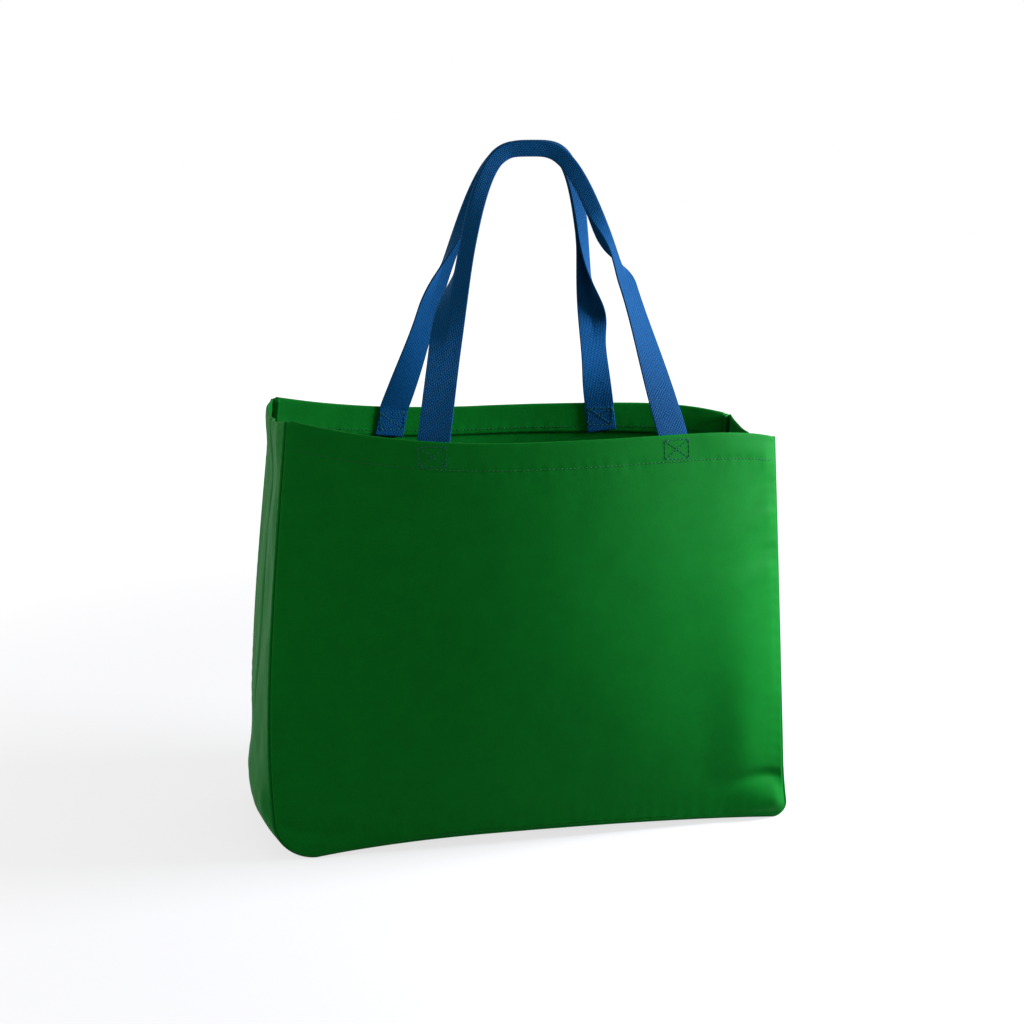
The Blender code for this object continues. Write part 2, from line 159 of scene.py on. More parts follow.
def reach(side, z):
    """Distance of a side seam from the middle plane: a straight taper, plus a sine belly,
    plus a flared foot."""
    share = np.clip(z / rim_height(side), 0, 1)
    belly = LEFT_BELLY if side == LEFT else RIGHT_BELLY
    straight = (BASE_WIDTH + (RIM_WIDTH - BASE_WIDTH) * share) / 2 + side * RIM_SHIFT * share
    flare = FOOT_FLARE * np.clip(1 - z / FOOT_HEIGHT, 0, 1) ** 2
    return straight + belly * np.sin(math.pi * share ** SIDE_LOW) + flare


def depth(x, z):
    """Distance of a panel from the middle plane: a straight taper plus a parabola across it."""
    u = np.clip(x / np.where(x < 0, reach(LEFT, z), reach(RIGHT, z)), -1, 1)
    share = np.clip(z / rim_height(rim_share(x)), 0, ABOVE_RIM)
    corner = (BASE_DEPTH + (RIM_DEPTH - BASE_DEPTH) * share) / 2
    bulge = RIM_BULGE * share + BELLY_BULGE * np.sin(math.pi * share ** BELLY_LOW)
    return corner + bulge * (1 - u * u)


def panel_inward(x, z, face):
    """Unit normals of a panel, pointing into the bag, from the slopes of its depth both ways."""
    slope_x = (depth(x + SLOPE_STEP, z) - depth(x - SLOPE_STEP, z)) / (2 * SLOPE_STEP)
    slope_z = (depth(x, z + SLOPE_STEP) - depth(x, z - SLOPE_STEP)) / (2 * SLOPE_STEP)
    return unit(np.stack([slope_x, -face * np.ones_like(slope_x), slope_z], axis=-1))


def panel_point(x, z, face):
    """Points on the middle of a panel's cloth before it is wrinkled."""
    return np.stack([x, face * depth(x, z), z + CLOTH / 2], axis=-1)


def fold(x, z, ends, half_width, height):
    """A ridge along the wavering line between two points: a bell across it, which widens
    along the line and dies out at its far end."""
    start, end = np.array(ends[:2]), np.array(ends[2:])
    length = np.linalg.norm(end - start)
    way = (end - start) / length
    along = ((x - start[0]) * way[0] + (z - start[1]) * way[1]) / length
    off = (x - start[0]) * -way[1] + (z - start[1]) * way[0]
    off = off + FOLD_WAVER * np.sin(along * FOLD_WAVES)
    begun = smooth((along - FOLD_BEGIN) / (FOLD_FULL - FOLD_BEGIN))
    faded = smooth((along - FOLD_FADE) / (FOLD_END - FOLD_FADE))
    width = half_width * (FOLD_START_WIDTH + along.clip(0, 1))
    return height * begun * (1 - faded) * np.exp(-(off / width) ** 2)


def puckers(sizes, along, off, waver):
    """Gathers beside a seam: a sine along it whose phase wavers, which rises from the seam
    and dies out exponentially away from it."""
    height, wave, reach_off = sizes
    gather = np.sin(along / wave + PUCKER_WAVER * waver)
    return height * gather * smooth(off / PUCKER_START) * np.exp(-off / reach_off)


def hem_relief(x, off, seed):
    """Relief along the hem's stitches: a bell-shaped dip with a sine of puckers in it, and a
    narrow bell-shaped groove."""
    gather = np.sin(x / HEM_PUCKER_WAVE + HEM_WAVER * uneven(x, x * 0, HEM_WAVER_SIZE, seed))
    dip = (HEM_PUCKER * gather - HEM_DIP) * np.exp(-(off / HEM_DIP_WIDTH) ** 2)
    return dip - STITCH_GROOVE * np.exp(-(off / GROOVE_WIDTH) ** 2)


def relief(x, z, face):
    """How far the cloth stands out from its smooth shape: the sum of dents, folds and puckers,
    each faded at the seams, and all of them at the handles' feet."""
    side = np.where(x < 0, reach(LEFT, z), reach(RIGHT, z)) - np.abs(x)
    low = z - bottom_lift(x * 2 / BASE_WIDTH)
    drop = rim_height(rim_share(x)) - z
    seed = DENT_SEEDS[face]
    dents = DENT * uneven(x, z * 0.8, DENT_SIZE, seed)
    dents = dents + SMALL_DENT * uneven(x, z, SMALL_DENT_SIZE, seed + 1)
    for *ends, half_width, height in FRONT_FOLDS if face == FRONT else BACK_FOLDS:
        dents = dents + fold(x, z, ends, half_width, height)
    dents *= smooth(side / SIDE_FADE) * smooth(low / BASE_FADE)
    waver = uneven(x, z, PUCKER_WAVER_SIZE, seed + 2)
    dents += puckers(SIDE_PUCKERS, z, side, waver) * smooth(low / CORNER_FADE)
    waver = uneven(x, z, PUCKER_WAVER_SIZE, seed + 3)
    dents += puckers(BASE_PUCKERS, x, low, waver)
    dents += hem_relief(x, drop - HEM_STITCH_DROP, seed + 4) * smooth(side / HEM_END_FADE)
    for foot_side in (LEFT, RIGHT):
        off = (x - handle_foot(face, foot_side)[0]) / CALM_WIDTH
        calm = np.exp(-off ** 4) * (1 - smooth((drop - CALM_HEIGHT) / CALM_FADE))
        dents = dents * (1 - calm)
    return dents


def cloth_point(x, z, face):
    """Points on the middle of a panel's cloth with its relief."""
    return panel_point(x, z, face) - panel_inward(x, z, face) * relief(x, z, face)[..., None]


def side_outline(side, inset):
    """A side seam from rim to base: hem, straight side and a quarter circle, moved in by inset."""
    top = float(rim_height(side))
    low = LEFT_CORNER_RADIUS if side == LEFT else RIGHT_CORNER_RADIUS
    hem = np.linspace(top, top - HEM_DEPTH, HEM_ROWS + 1)[:-1]
    heights = np.concatenate([hem, np.linspace(top - HEM_DEPTH, low, SIDE_ROWS)])
    straight = np.stack([side * (reach(side, heights) - inset), heights], axis=1)
    angles = np.linspace(0, math.pi / 2, ARC_ROWS + 1)[1:]
    arc_x = side * (reach(side, low) - low + (low - inset) * np.cos(angles))
    arc_z = low - (low - inset) * np.sin(angles)
    return np.concatenate([straight, np.stack([arc_x, arc_z], axis=1)])


def bottom_lift(u):
    """How far the base seam stands off the floor: two half parabolas that meet at the peak."""
    right = (u - LIFT_PEAK) / (1 - LIFT_PEAK)
    left = (LIFT_PEAK - u) / (1 + LIFT_PEAK)
    return BASE_LIFT * (1 - np.clip(np.where(u < LIFT_PEAK, left, right), 0, 1) ** 2)


def seam_outline():
    """A panel's seam, down the left, along the base and up the right: width, height and lift."""
    left, right = side_outline(LEFT, 0), side_outline(RIGHT, 0)
    share = np.linspace(0, 1, PANEL_COLUMNS + 1)[1:-1]
    bottom = left[-1] + share[:, None] * (right[-1] - left[-1])
    lift = bottom_lift(2 * share - 1)
    bottom[:, 1] += lift
    lifts = np.concatenate([np.zeros(len(left)), lift, np.zeros(len(right))])
    return np.column_stack([np.concatenate([left, bottom, right[::-1]]), lifts])


def panel_grid():
    """Rows of width and height over a panel: straight between its two side outlines, and
    bowed towards the rim's curve above and the base's below."""
    left, right = side_outline(LEFT, SEAM_TURN), side_outline(RIGHT, SEAM_TURN)
    u = np.linspace(-1, 1, PANEL_COLUMNS + 1)
    share = (u + 1) / 2
    rows = left[:, None, :] + share[None, :, None] * (right - left)[:, None, :]
    rim_bow = rim_height(u) - (left[0, 1] + share * (right[0, 1] - left[0, 1]))
    height = np.clip(left[:, 1] / left[0, 1], 0, 1)
    rows[:, :, 1] += height[:, None] * rim_bow + (1 - height[:, None]) * bottom_lift(u)
    rows[-1, :, 1] = SEAM_TURN + bottom_lift(u)
    return rows


def swell_share(height):
    """A hump low on the gusset: a root of the height times a high power of what is left."""
    return height ** GUSSET_RISE_POWER * (1 - height) ** GUSSET_FALL_POWER


def gusset_share(flat):
    """The share of the gusset's half width at which its turned edge begins."""
    return 1 - SEAM_TURN / depth(flat[:, 0], flat[:, 1])


def gusset_point(flat, v):
    """Points on the gusset band, v from -1 at the front seam to 1 at the back, swollen out
    and sagging at the rim by 1 minus v squared."""
    x, z, lift = flat.T
    side = np.sign(x)
    height = np.clip((z - lift) / rim_height(side), 0, 1)
    swell = GUSSET_BULGE * swell_share(height) / swell_share(SWELL_PEAK) * (1 - v * v)
    sag = GUSSET_SAG * height ** SAG_CURVE * (1 - v * v)
    ramp = np.clip((np.abs(v) - FLAT_BASE_SHARE) / (1 - FLAT_BASE_SHARE), 0, 1) ** 2
    out_z = z - sag - lift * (1 - ramp)
    return np.stack([x + side * swell, v * depth(x, z), out_z + CLOTH / 2], axis=-1)


def seam_frames(face):
    """Seam points, the directions of both cloths there, and that of the turned-in allowance,
    which halves the angle between them."""
    flat = seam_outline()
    seam = panel_point(flat[:, 0], flat[:, 1], face)
    along = unit(np.gradient(seam, axis=0))
    inner_x = flat[:, 0] * (1 - 2 * SLOPE_STEP / BASE_WIDTH)
    inward = panel_inward(inner_x, flat[:, 1] + SLOPE_STEP, face)
    into_panel = unit(np.cross(inward, along))
    middle = np.array([0, face * BASE_DEPTH / 2, BAG_HEIGHT / 2])
    into_panel *= np.sign(np.sum(into_panel * (middle - seam), axis=1))[:, None]
    into_gusset = gusset_point(flat, face * gusset_share(flat)) - seam
    into_gusset -= along * np.sum(into_gusset * along, axis=1)[:, None]
    into_gusset = unit(into_gusset)
    return seam, into_panel, into_gusset, unit(into_panel + into_gusset)


def allowance_rows(seam, own, tongue):
    """Rows that turn a cloth's edge inward: a quadratic curve round the bend, then straight
    on to the raw edge."""
    lean = unit(own - tongue * np.sum(own * tongue, axis=1)[:, None])
    control = seam + lean * (CLOTH + SEAM_GAP) / 2
    start, end = seam + own * SEAM_TURN, control + tongue * SEAM_TURN
    share = np.linspace(0, 1, BEND_ROWS + 2)[1:, None, None]
    bend = (1 - share) ** 2 * start + 2 * share * (1 - share) * control + share ** 2 * end
    raw_edge = (control + tongue * SEAM_ALLOWANCE)[None]
    return np.concatenate([bend, (end[None] + raw_edge) / 2, raw_edge])


class Cutting:
    """A surface made of blocks of points, each point with its place on the flat material."""

    def __init__(self):
        self.points, self.flat, self.faces, self.count = [], [], [], 0

    def block(self, points, flat):
        """Adds an array of points and returns their numbers in the same shape."""
        shape = points.shape[:-1]
        number = np.arange(self.count, self.count + math.prod(shape)).reshape(shape)
        self.points.append(points.reshape(-1, 3))
        self.flat.append(np.broadcast_to(flat, (*shape, 2)).reshape(-1, 2))
        self.count += number.size
        return number

    def join(self, number):
        """Four-sided faces between neighbouring rows and columns of point numbers."""
        quads = [number[..., :-1, :-1], number[..., :-1, 1:],
                 number[..., 1:, 1:], number[..., 1:, :-1]]
        self.faces.append(np.stack(quads, axis=-1).reshape(-1, 4))

    def fold_hem(self, rows, points, flat, inward):
        """Folds the top rows over inside: half a circle over the top, then the same rows again,
        moved inward by the fold's width."""
        upward = unit(points[0] - points[1])
        angle = np.linspace(0, math.pi, CREST_ROWS + 1)[1:, None, None]
        rise = (1 - np.cos(angle)) * inward[0] + np.sin(angle) * upward
        crest = self.block(points[0] + HEM_FOLD / 2 * rise, flat[0])
        behind = self.block(points[1:] + inward[1:] * HEM_FOLD, flat[1:])
        self.join(np.concatenate([rows[:1], crest, behind]))

    def make(self, name, material, thickness=None):
        """Makes the object, with its flat places as a UV map in metres, and thickens it."""
        mesh = bpy.data.meshes.new(name)
        faces = np.concatenate(self.faces)
        mesh.from_pydata(np.concatenate(self.points).tolist(), [], faces.tolist())
        work = bmesh.new()
        work.from_mesh(mesh)
        bmesh.ops.recalc_face_normals(work, faces=work.faces)
        work.to_mesh(mesh)
        work.free()
        corner = np.empty(len(mesh.loops), np.int32)
        mesh.loops.foreach_get("vertex_index", corner)
        places = np.concatenate(self.flat)[corner].astype(np.float32)
        mesh.uv_layers.new(name="flat").data.foreach_set("uv", places.ravel())
        mesh.materials.append(material)
        mesh.shade_smooth()
        piece = bpy.data.objects.new(name, mesh)
        bpy.context.scene.collection.objects.link(piece)
        if thickness:
            solid = piece.modifiers.new("cloth thickness", "SOLIDIFY")
            solid.thickness = thickness
            solid.offset = 0
        return piece


def add_node(tree, kind, **values):
    """A shader node with its settings and unlinked inputs filled in by name."""
    made = tree.nodes.new(kind)
    for key, value in values.items():
        if hasattr(made, key):
            setattr(made, key, value)
        else:
            made.inputs[key.replace("_", " ")].default_value = value
    return made


def math_node(tree, operation, first, second=None):
    """A Math node fed by sockets or by plain numbers."""
    made = tree.nodes.new("ShaderNodeMath")
    made.operation = operation
    for slot, value in enumerate((first, second)):
        if isinstance(value, bpy.types.NodeSocket):
            tree.links.new(value, made.inputs[slot])
        elif value is not None:
            made.inputs[slot].default_value = value
    return made.outputs[0]


def weighed(tree, *terms):
    """The sum of some sockets, each times its weight."""
    total = None
    for socket, weight in terms:
        term = math_node(tree, "MULTIPLY", socket, weight)
        total = term if total is None else math_node(tree, "ADD", total, term)
    return total


def principled(name, roughness, specular):
    """A Principled material with its plain settings on the shader's own sockets."""
    made = bpy.data.materials.new(name)
    made.use_nodes = True
    shader = made.node_tree.nodes["Principled BSDF"]
    shader.inputs["Roughness"].default_value = roughness
    shader.inputs["Specular IOR Level"].default_value = specular
    return made, made.node_tree, shader


def flat_places(tree):
    """The UV map of places on the flat material, and its two numbers by themselves."""
    flat = add_node(tree, "ShaderNodeUVMap", uv_map="flat").outputs["UV"]
    parts = add_node(tree, "ShaderNodeSeparateXYZ")
    tree.links.new(flat, parts.inputs[0])
    return flat, parts.outputs[0], parts.outputs[1]


def texture(tree, kind, flat, **values):
    """The level of a texture laid over the flat material."""
    made = add_node(tree, kind, **values)
    tree.links.new(flat, made.inputs["Vector"])
    return made.outputs["Fac"]


def raise_surface(tree, shader, height, strength, distance):
    """Fine relief in a finish, from its height."""
    bump = add_node(tree, "ShaderNodeBump", Strength=strength, Distance=distance)
    tree.links.new(height, bump.inputs["Height"])
    tree.links.new(bump.outputs[0], shader.inputs["Normal"])


def dye_with_painted_shade(tree, shader, factor, colour, dark, light):
    """A colour between a darker and a lighter level of one dye, by factor, carrying its uneven tone
    and the painted shade a finish gives it: sockets 6 and 7 of the Mix node are its two colours."""
    mix = add_node(tree, "ShaderNodeMix", data_type="RGBA")
    tree.links.new(factor, mix.inputs["Factor"])
    for slot, level in ((6, dark), (7, light)):
        mix.inputs[slot].default_value = (*(channel * level for channel in colour), 1)
    tree.links.new(mix.outputs[2], shader.inputs["Base Color"])


def cloth_finish(name, colour):
    """Spun-bonded cloth: cloudy dye, loose fibres, and pressed dimples where the product of a
    sine each way is above zero."""
    made, tree, shader = principled(name, roughness=0.60, specular=0.05)
    flat, *places = flat_places(tree)
    waves = [math_node(tree, "SINE", math_node(tree, "MULTIPLY", place, math.tau / DIMPLE_PITCH))
             for place in places]
    dimple = math_node(tree, "MAXIMUM", math_node(tree, "MULTIPLY", *waves), 0.0)
    fibres = texture(tree, "ShaderNodeTexNoise", flat,
                     Scale=1400, Detail=3, Roughness=0.7, Distortion=1.2)
    clouds = texture(tree, "ShaderNodeTexNoise", flat, Scale=55, Detail=5, Roughness=0.62)
    height = weighed(tree, (fibres, 0.5), (dimple, -1.0))
    raise_surface(tree, shader, height, strength=0.55, distance=0.00016)
    # The colour is cloudy and fibrous at random, and darker in the pressed dimples as painted
    # shade.
    tone_and_painted_shade = weighed(tree, (clouds, 0.75), (fibres, 0.25), (dimple, -0.10))
    dye_with_painted_shade(tree, shader, tone_and_painted_shade, colour, dark=0.78, light=1.22)
    return made


def panel_cloth(name, face, material):
    """The panel's own grid, its turned-in edges, and the hem folded over at the top."""
    sheet = Cutting()
    grid = panel_grid()
    x, z = grid[..., 0], grid[..., 1]
    points = cloth_point(x, z, face)
    rows = sheet.block(points, grid)
    sheet.join(rows)
    edge = np.concatenate([rows[:, 0], rows[-1, 1:-1], rows[::-1, -1]])
    flat = np.concatenate([grid[:, 0], grid[-1, 1:-1], grid[::-1, -1]])
    seam, into_panel, _, tongue = seam_frames(face)
    turned = sheet.block(allowance_rows(seam, into_panel, tongue), flat)
    sheet.join(np.concatenate([edge[None], turned]))
    hem = slice(0, HEM_ROWS + 1)
    sheet.fold_hem(rows, points[hem], grid[hem], panel_inward(x[hem], z[hem], face))
    return sheet.make(name, material, CLOTH)


panel_green = cloth_finish("panel_green_cloth", PANEL_GREEN)
for face, place in ((FRONT, "front"), (BACK, "back")):
    panel = panel_cloth(f"{place}_panel_cloth", face, panel_green)
    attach(panel, "root")
    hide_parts(f"{place}_panel")

# Gusset band
# One long strip of the same cloth makes the left side, the base and the right side.
# It has a hem of its own at both ends, and its long edges are turned in with the panels' edges.
# A less saturated, bluer copy of the panels' green: painted sheen of the light on the sides.
GUSSET_GREEN_PAINTED_SHEEN = (0.003, 0.188, 0.020)
GUSSET_DENT, GUSSET_DENT_SIZE = 0.0011, 0.09
GUSSET_SMALL_DENT, GUSSET_SMALL_DENT_SIZE = 0.0003, 0.03
GUSSET_PUCKERS, GUSSET_SEED = (0.00035, 0.0017, 0.011), 21
MIDDLE_CREASE, CREASE_WIDTH, CREASE_RISE = 0.0016, 0.0035, 0.20
GUSSET_LOW_FADE, GUSSET_EDGE_FADE, SWELL_EDGE_FADE = 0.05, 0.018, 0.020

# Where the left side swells out: height of the swelling, its middle and its half width
LEFT_SWELLINGS = ((0.0045, 0.345, 0.035), (0.0035, 0.035, 0.022))


def gusset_relief(flat, v):
    """Outward relief of the sides: the sum of dents, a pressed middle crease, swellings on the
    left, and puckers beside both seams."""
    x, z, lift = flat.T
    side = np.sign(x)
    across = v * depth(x, z)
    edge = (1 - np.abs(v)) * depth(x, z)
    upright = np.abs(x) > BASE_WIDTH / 2 - LEFT_CORNER_RADIUS
    dents = GUSSET_DENT * uneven(across + side * 0.7, z, GUSSET_DENT_SIZE, GUSSET_SEED)
    dents += GUSSET_SMALL_DENT * uneven(across, z + side, GUSSET_SMALL_DENT_SIZE, GUSSET_SEED + 1)
    dents -= MIDDLE_CREASE * np.exp(-(across / CREASE_WIDTH) ** 2) * smooth(z / CREASE_RISE)
    dents *= smooth(edge / GUSSET_EDGE_FADE)
    for height, middle, half_width in LEFT_SWELLINGS:
        swelling = height * np.exp(-((z - middle) / half_width) ** 2)
        dents += swelling * smooth(edge / SWELL_EDGE_FADE) * (side < 0)
    waver = uneven(across + side, z, PUCKER_WAVER_SIZE, GUSSET_SEED + 2)
    dents += puckers(GUSSET_PUCKERS, z, edge, waver)
    return dents * smooth((z - lift) / GUSSET_LOW_FADE) * upright


def gusset_cloth_point(flat, v):
    """Points on the gusset with its relief, which moves the sides out and leaves the base flat."""
    points = gusset_point(flat, v)
    points[:, 0] += np.sign(flat[:, 0]) * gusset_relief(flat, v)
    return points


def gusset_cloth(name, material):
    """The band's own grid, both turned-in edges, and a hem at each end."""
    sheet = Cutting()
    flat = seam_outline()
    width = gusset_share(flat)
    shares = np.linspace(-1, 1, GUSSET_COLUMNS + 1)
    points = np.array([gusset_cloth_point(flat, v * width) for v in shares])
    steps = np.linalg.norm(np.diff(flat[:, :2], axis=0), axis=1)
    run = np.concatenate([[0], np.cumsum(steps)])
    place = np.stack(np.broadcast_arrays(shares[:, None] * BASE_DEPTH / 2, run[None]), axis=-1)
    rows = sheet.block(points, place)
    sheet.join(rows)
    for face, end in ((FRONT, 0), (BACK, -1)):
        seam, _, into_gusset, tongue = seam_frames(face)
        turned = sheet.block(allowance_rows(seam, into_gusset, tongue), place[end])
        sheet.join(np.concatenate([rows[end][None], turned]))
    for side, hem in ((LEFT, slice(0, HEM_ROWS + 1)), (RIGHT, slice(-1, -HEM_ROWS - 2, -1))):
        top = points[:, hem].transpose(1, 0, 2)
        inward = unit(np.cross(np.gradient(top[0], axis=0), unit(top[0] - top[1])))
        inward *= -side * np.sign(inward[:, :1])
        where = place[:, hem].transpose(1, 0, 2)
        sheet.fold_hem(rows[:, hem].T, top, where, np.broadcast_to(inward, top.shape))
    return sheet.make(name, material, CLOTH)


# The sides' finish is the panel cloth tinted with painted sheen.
gusset = gusset_cloth("gusset_cloth", cloth_finish("gusset_cloth_painted_sheen", GUSSET_GREEN_PAINTED_SHEEN))
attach(gusset, "root")
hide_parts("gusset_band")

# Webbing handles
# Two straps of blue polypropylene webbing, 25 mm wide, woven with ribs along their length. Each
# end lies flat inside the hem, and higher up the strap is folded in half lengthwise, with the
# fold on top.
WEBBING_WIDTH, WEBBING_THICKNESS, FOLD_BEND = 0.0254, 0.0015, 0.0016
HANDLE_RISE, HANDLE_END, HANDLE_SPLAY, SEWN_GAP = 0.2280, 0.024, 0.18, 0.0006
CUP, CUP_LENGTH = 0.0004, 0.031
CLOSED_ANGLE = math.radians(3)

# Width and depth of each handle's top, and the power and the two tapers of its arch
CROWNS = {FRONT: (0.0063, -0.0036), BACK: (0.0128, 0.0120)}
ARCHES = {FRONT: (3.33, 0.206, -0.045), BACK: (3.40, 0.398, -0.292)}

# The folds of the left and right legs: shares of the height at which the fold begins and is
# closed, and the turns below and inside it
FOLDS = {FRONT: ((0.244, 0.947, -0.08, 0.0), (0.511, 0.806, 0.69, 0.0)),
         BACK: ((0.381, 0.950, 0.55, -0.87), (0.217, 0.697, -0.40, -0.87))}
ARCH_STEPS, ARCH_SAMPLES, END_STEPS = 260, 800, 14
EDGE_STEPS, FLAT_STEPS, BEND_STEPS = 3, 7, 11
WEBBING_BLUE = (0.003, 0.086, 0.235)
RIB_PITCH, PICK_PITCH = 0.00141, 0.0026


def behind_hem(x, z, face):
    """Middle of the webbing where it lies flat against the inside of the hem."""
    back_off = CLOTH / 2 + HEM_FOLD + SEWN_GAP + WEBBING_THICKNESS / 2
    return panel_point(x, z, face) + panel_inward(x, z, face) * back_off


def running_length(line):
    """Length along a line of points, from 0 at its start."""
    steps = np.linalg.norm(np.diff(line, axis=0), axis=1)
    return np.concatenate([[0], steps.cumsum()])


def arch_line(w, face):
    """Height shares and points of a fold line, w from -1 at the left foot to 1 at the right:
    the height is 1 minus a power of w, and the legs taper in with it."""
    feet = np.array([handle_foot(face, side) for side in (LEFT, RIGHT)])
    sewn_feet = behind_hem(feet[:, 0], feet[:, 1], face)
    foot_y, foot_z = (np.where(w < 0, *sewn_feet[:, axis]) for axis in (1, 2))
    crown_x, crown_y = CROWNS[face]
    power, narrow, narrow_square = ARCHES[face]
    height = 1 - np.abs(w) ** power
    taper = 1 - narrow * height - narrow_square * height ** 2
    half_spacing = (feet[1, 0] - feet[0, 0]) / 2
    x = feet[:, 0].mean() * (1 - height) + crown_x * height + half_spacing * w * taper
    y = foot_y + (crown_y - foot_y) * height
    z = foot_z + (BAG_HEIGHT + HANDLE_RISE - foot_z) * height
    return height, np.stack([x, y, z], axis=1)


def even_steps(face):
    """Places along the arch the same length apart, read off its running length."""
    w = np.linspace(-1, 1, ARCH_SAMPLES + 1)
    run = running_length(arch_line(w, face)[1])
    return np.interp(np.linspace(0, run[-1], ARCH_STEPS + 1), run, w)


def handle_fold(w, height, face):
    """Angle between the strap's two halves, eased from half a turn to nearly none, and the
    turn of the strap about its line."""
    begin, end, leg_turn, lean = np.where(w[:, None] < 0, *FOLDS[face]).T
    closed = smooth((height - begin) / (end - begin))
    opening = math.pi + (CLOSED_ANGLE - math.pi) * closed
    below_fold = leg_turn * smooth(height / begin) * (1 - closed)
    return opening, below_fold + (opening / 2 + 2 * lean * (1 - height)) * closed


def handle_frames(face):
    """A fold line with its sewn ends, its outward and inward ways, and its opening and turn."""
    w = even_steps(face)
    height, arch = arch_line(w, face)
    below = np.linspace(1, 0, END_STEPS + 1)[:-1] * HANDLE_END
    feet = [(side, *handle_foot(face, side)) for side in (LEFT, RIGHT)]
    ends = [behind_hem(rim_x + side * HANDLE_SPLAY * below, rim_z - below, face)
            for side, rim_x, rim_z in feet]
    path = np.concatenate([ends[0], arch, ends[1][::-1]])
    opening, turn = handle_fold(w, height, face)
    opening = np.pad(opening, END_STEPS, constant_values=math.pi)
    along = unit(np.gradient(path, axis=0))
    foot = panel_inward(path[:, 0], np.minimum(path[:, 2], BAG_HEIGHT), face)
    blend = np.clip((path[:, 2:] - BAG_HEIGHT) / HANDLE_RISE, 0, 1)
    inward = foot * (1 - blend) + np.array([0, -face, 0]) * blend
    inward = unit(inward - along * np.sum(inward * along, axis=1)[:, None])
    return path, np.cross(inward, along) * face, inward, opening, np.pad(turn, END_STEPS)


def handle_section(face, across):
    """Middle and face way at distances across from the fold line: an arc near the line,
    straight beyond it."""
    path, outer, inward, opening, turn = handle_frames(face)
    curve = (math.pi - opening)[:, None] / (2 * FOLD_BEND)
    in_arc = np.clip(across, -FOLD_BEND, FOLD_BEND)
    angle = (opening / 2 - math.pi / 2 - turn)[:, None] + curve * in_arc
    chord_angle = angle - curve * in_arc / 2
    chord = in_arc * np.sinc(curve * in_arc / (2 * math.pi))
    to_centre = chord * np.cos(chord_angle) + (across - in_arc) * np.cos(angle)
    to_inside = chord * np.sin(chord_angle) + (across - in_arc) * np.sin(angle)
    outer, inward = outer[:, None], inward[:, None]
    middle = path[:, None] - to_centre[..., None] * outer + to_inside[..., None] * inward
    face_way = np.sin(angle)[..., None] * outer + np.cos(angle)[..., None] * inward
    return middle, face_way, opening


def webbing_section():
    """Places round a strap, across and through it: one face with quarter circles at its edges,
    then the other."""
    half, round_off = WEBBING_WIDTH / 2, WEBBING_THICKNESS / 2
    straight = np.linspace(FOLD_BEND, half - round_off, FLAT_STEPS)
    bend = np.linspace(-FOLD_BEND, FOLD_BEND, BEND_STEPS)[1:-1]
    across = np.concatenate([-straight[::-1], bend, straight])
    angle = math.pi / 2 * (np.arange(EDGE_STEPS) + 0.5) / EDGE_STEPS
    edge_across = half - round_off + round_off * np.sin(angle)
    edge = np.stack([edge_across, round_off * np.cos(angle)], axis=1)
    face = np.stack([across, np.full(len(across), round_off)], axis=1)
    upper = np.concatenate([edge[::-1] * (-1, 1), face, edge])
    return np.concatenate([upper, -upper])


def webbing_strap(name, face, material):
    """The section carried along the handle's path, cupped by a slow sine where it is flat, and
    closed at both ends."""
    section = webbing_section()
    middle, face_way, opening = handle_section(face, section[:, 0])
    run = running_length(middle[:, len(section) // 4])
    cup = CUP * np.sin(run / CUP_LENGTH) * (opening / math.pi) ** 4
    cup = cup[:, None] * (1 - (section[:, 0] * 2 / WEBBING_WIDTH) ** 2)
    points = middle + (section[:, 1] + cup)[..., None] * face_way
    place = np.stack(np.broadcast_arrays(section[None, :, 0], run[:, None]), axis=-1)
    strap = Cutting()
    rows = strap.block(points, place)
    strap.join(np.concatenate([rows, rows[:, :1]], axis=1))
    for end in (rows[0], rows[-1]):
        upper, lower = np.split(end, 2)
        strap.join(np.stack([upper, lower[::-1]]))
    return strap.make(name, material)


def webbing_finish(name, colour):
    """Woven webbing: ribs along it, the size of a sine across, each with raised picks on a sine
    along it that is shifted by half a wave from rib to rib."""
    made, tree, shader = principled(name, roughness=0.62, specular=0.05)
    flat, across, along = flat_places(tree)
    rib = math_node(tree, "DIVIDE", across, RIB_PITCH)
    ridge = math_node(tree, "SINE", math_node(tree, "MULTIPLY", rib, math.pi))
    ridge = math_node(tree, "ABSOLUTE", ridge)
    shift = math_node(tree, "MULTIPLY", math_node(tree, "FLOOR", rib), math.pi)
    pick = math_node(tree, "MULTIPLY", along, math.tau / PICK_PITCH)
    pick = math_node(tree, "SINE", math_node(tree, "ADD", pick, shift))
    pick = math_node(tree, "MULTIPLY", math_node(tree, "ADD", pick, 2.0), 0.33)
    weave = math_node(tree, "MULTIPLY", ridge, pick)
    wear = texture(tree, "ShaderNodeTexNoise", flat, Scale=260, Detail=4, Roughness=0.6)
    height = weighed(tree, (weave, 1.0), (wear, 0.3))
    raise_surface(tree, shader, height, strength=0.8, distance=0.0004)
    # The colour mixes painted shade from the weave, darker in the grooves between ribs and lighter
    # on the raised picks, with the wear's tone, which differs at random.
    tone_and_painted_shade = weighed(tree, (weave, 0.6), (wear, 0.4))
    dye_with_painted_shade(tree, shader, tone_and_painted_shade, colour, dark=0.45, light=1.35)
    return made


webbing_blue = webbing_finish("webbing_blue_weave", WEBBING_BLUE)
for face, place in ((FRONT, "front"), (BACK, "back")):
    strap = webbing_strap(f"{place}_webbing", face, webbing_blue)
    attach(strap, "root")
    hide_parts(f"{place}_handle")

